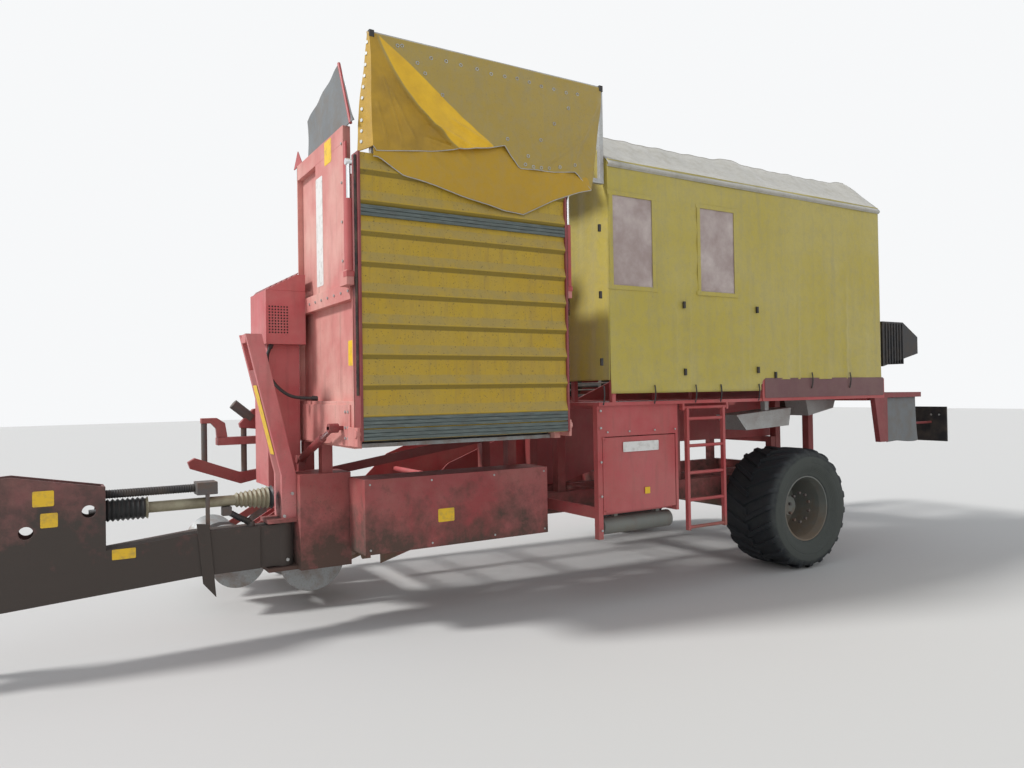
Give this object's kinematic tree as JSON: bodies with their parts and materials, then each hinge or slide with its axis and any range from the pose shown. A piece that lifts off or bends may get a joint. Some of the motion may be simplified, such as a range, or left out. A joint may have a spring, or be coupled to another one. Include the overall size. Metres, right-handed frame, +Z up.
{
  "type": "trailed potato harvester",
  "caption": "Trailed two-row potato harvester: offset digging intake and sieve webs, tented picking platform, side-folding bunker, steered axle and parking jack.",
  "frame": {"origin": "on the ground, at the middle of the machine's overall length and width", "axes": "+X forward to the towing eye, +Y to the machine's left, +Z up"},
  "size_m": [11.1998, 3.28, 4.62],
  "materials": {
    "red_paint": "faded satin paint",
    "dark_red_paint": "dusty satin paint",
    "yellow_paint": "muddy satin paint",
    "grey_paint": "dusty matt paint",
    "bare_steel": "worn bare steel",
    "zinc_steel": "dull zinc",
    "chrome_rod": "polished",
    "cast_iron": "rough, oily",
    "tyre_rubber": "dusty matt",
    "web_rubber": "matt",
    "grey_sheet": "matt rubberised sheet",
    "black_plastic": "matt",
    "yellow_canvas": "coated fabric",
    "grey_canvas": "weathered coated fabric",
    "clear_sheet": "milky flexible sheet"
  },
  "bodies": {
    "chassis": {"main_frame": "red_paint", "mast": "dark_red_paint", "side_box": "red_paint", "axle_beam": "dark_red_paint", "gearbox": "cast_iron", "bunker_walls": "red_paint", "bunker_web": "bare_steel", "bunker_hood": "grey_sheet", "fold_cylinders": "red_paint", "platform": "red_paint", "tent_frame": "red_paint", "tent_sides": "yellow_canvas", "tent_roof": "grey_canvas", "tent_windows": "clear_sheet", "picking_table": "red_paint", "filler_web": "web_rubber", "channel_walls": "red_paint", "sieve_webs": "bare_steel", "haulm_web": "web_rubber", "cross_web": "web_rubber", "oil_tower": "red_paint", "air_tank": "grey_paint", "side_panel": "red_paint", "trash_chutes": "zinc_steel", "rear_posts": "dark_red_paint", "rubber_curtain": "grey_sheet", "rear_cover": "black_plastic", "light_boards": "black_plastic"},
    "side_door": {"side_door": "red_paint"},
    "ladder": {"ladder": "red_paint"},
    "discharge": {"discharge_frame": "yellow_paint", "discharge_web": "web_rubber", "tarp_frame": "zinc_steel", "tarp_sheet": "yellow_canvas"},
    "fold_rods": {"fold_rods": "chrome_rod"},
    "drawbar": {"drawbar": "dark_red_paint", "towing_eye": "cast_iron", "shaft_guard": "black_plastic"},
    "jack": {"jack_leg": "zinc_steel"},
    "power_shaft": {"power_shaft": "bare_steel"},
    "knuckle_left": {"knuckle_left": "cast_iron"},
    "knuckle_right": {"knuckle_right": "cast_iron"},
    "tie_rod": {"tie_rod": "bare_steel"},
    "wheel_left": {"tyre_left": "tyre_rubber", "rim_left": "grey_paint"},
    "wheel_right": {"tyre_right": "tyre_rubber", "rim_right": "grey_paint"},
    "intake": {"intake_frame": "red_paint"},
    "disc_left": {"disc_left": "bare_steel"},
    "disc_middle": {"disc_middle": "bare_steel"},
    "disc_right": {"disc_right": "bare_steel"},
    "diabolo_left": {"diabolo_left": "bare_steel"},
    "diabolo_right": {"diabolo_right": "bare_steel"}
  },
  "joints": [
    {"name": "drawbar_swing", "type": "hinge", "parent": "chassis", "child": "drawbar", "pos_m": [2.84, 0.53, 0.72], "axis": [0, 0, 1], "range_deg": [-15, 15]},
    {"name": "jack_slide", "type": "slide", "parent": "drawbar", "child": "jack", "axis": [0, 0, 1], "range_m": [0, 0.35]},
    {"name": "power_spin", "type": "hinge", "parent": "drawbar", "child": "power_shaft", "pos_m": [3.55, 0.496, 1.1], "axis": [1, 0, 0], "continuous": true},
    {"name": "steer_left", "type": "hinge", "parent": "chassis", "child": "knuckle_left", "pos_m": [-2.45, 0.87, 0.638], "axis": [0, 0, 1], "range_deg": [-12, 12]},
    {"name": "steer_right", "type": "hinge", "parent": "chassis", "child": "knuckle_right", "pos_m": [-2.45, -1.13, 0.638], "axis": [0, 0, 1], "range_deg": [-12, 12]},
    {"name": "tie_rod_slide", "type": "slide", "parent": "chassis", "child": "tie_rod", "axis": [0, 1, 0], "range_m": [-0.05, 0.05]},
    {"name": "wheel_left_spin", "type": "hinge", "parent": "knuckle_left", "child": "wheel_left", "pos_m": [-2.45, 1.265, 0.638], "axis": [0, 1, 0], "continuous": true},
    {"name": "wheel_right_spin", "type": "hinge", "parent": "knuckle_right", "child": "wheel_right", "pos_m": [-2.45, -1.415, 0.638], "axis": [0, 1, 0], "continuous": true},
    {"name": "discharge_fold", "type": "hinge", "parent": "chassis", "child": "discharge", "pos_m": [1.6, 1.56, 1.64], "axis": [-1, 0, 0], "range_deg": [0, 100]},
    {"name": "fold_rod_slide", "type": "slide", "parent": "chassis", "child": "fold_rods", "axis": [0, 0, 1], "range_m": [-0.18, 0]},
    {"name": "side_door_swing", "type": "hinge", "parent": "chassis", "child": "side_door", "pos_m": [0.288, 1.56, 1.18], "axis": [0, 0, -1], "range_deg": [0, 100]},
    {"name": "ladder_fold", "type": "hinge", "parent": "chassis", "child": "ladder", "pos_m": [-0.95, 1.57, 1.755], "axis": [1, 0, 0], "range_deg": [0, 90]},
    {"name": "intake_lift", "type": "hinge", "parent": "chassis", "child": "intake", "pos_m": [1.5, -0.77, 0.68], "axis": [0, 1, 0], "range_deg": [0, 16]},
    {"name": "disc_left_spin", "type": "hinge", "parent": "intake", "child": "disc_left", "pos_m": [2.4, -0.06, 0.445], "axis": [0, 1, 0], "continuous": true},
    {"name": "disc_middle_spin", "type": "hinge", "parent": "intake", "child": "disc_middle", "pos_m": [2.4, -0.815, 0.445], "axis": [0, 1, 0], "continuous": true},
    {"name": "disc_right_spin", "type": "hinge", "parent": "intake", "child": "disc_right", "pos_m": [2.4, -1.57, 0.445], "axis": [0, 1, 0], "continuous": true},
    {"name": "diabolo_left_spin", "type": "hinge", "parent": "intake", "child": "diabolo_left", "pos_m": [3.03, -0.44, 0.48], "axis": [0, 1, 0], "continuous": true},
    {"name": "diabolo_right_spin", "type": "hinge", "parent": "intake", "child": "diabolo_right", "pos_m": [3.03, -1.19, 0.48], "axis": [0, 1, 0], "continuous": true}
  ],
  "couplings": [
    {"joint": "steer_right", "follows": "steer_left", "ratio": 1},
    {"joint": "tie_rod_slide", "follows": "steer_left", "m_per_rad": -0.22},
    {"joint": "fold_rod_slide", "follows": "discharge_fold", "m_per_rad": -0.1}
  ]
}
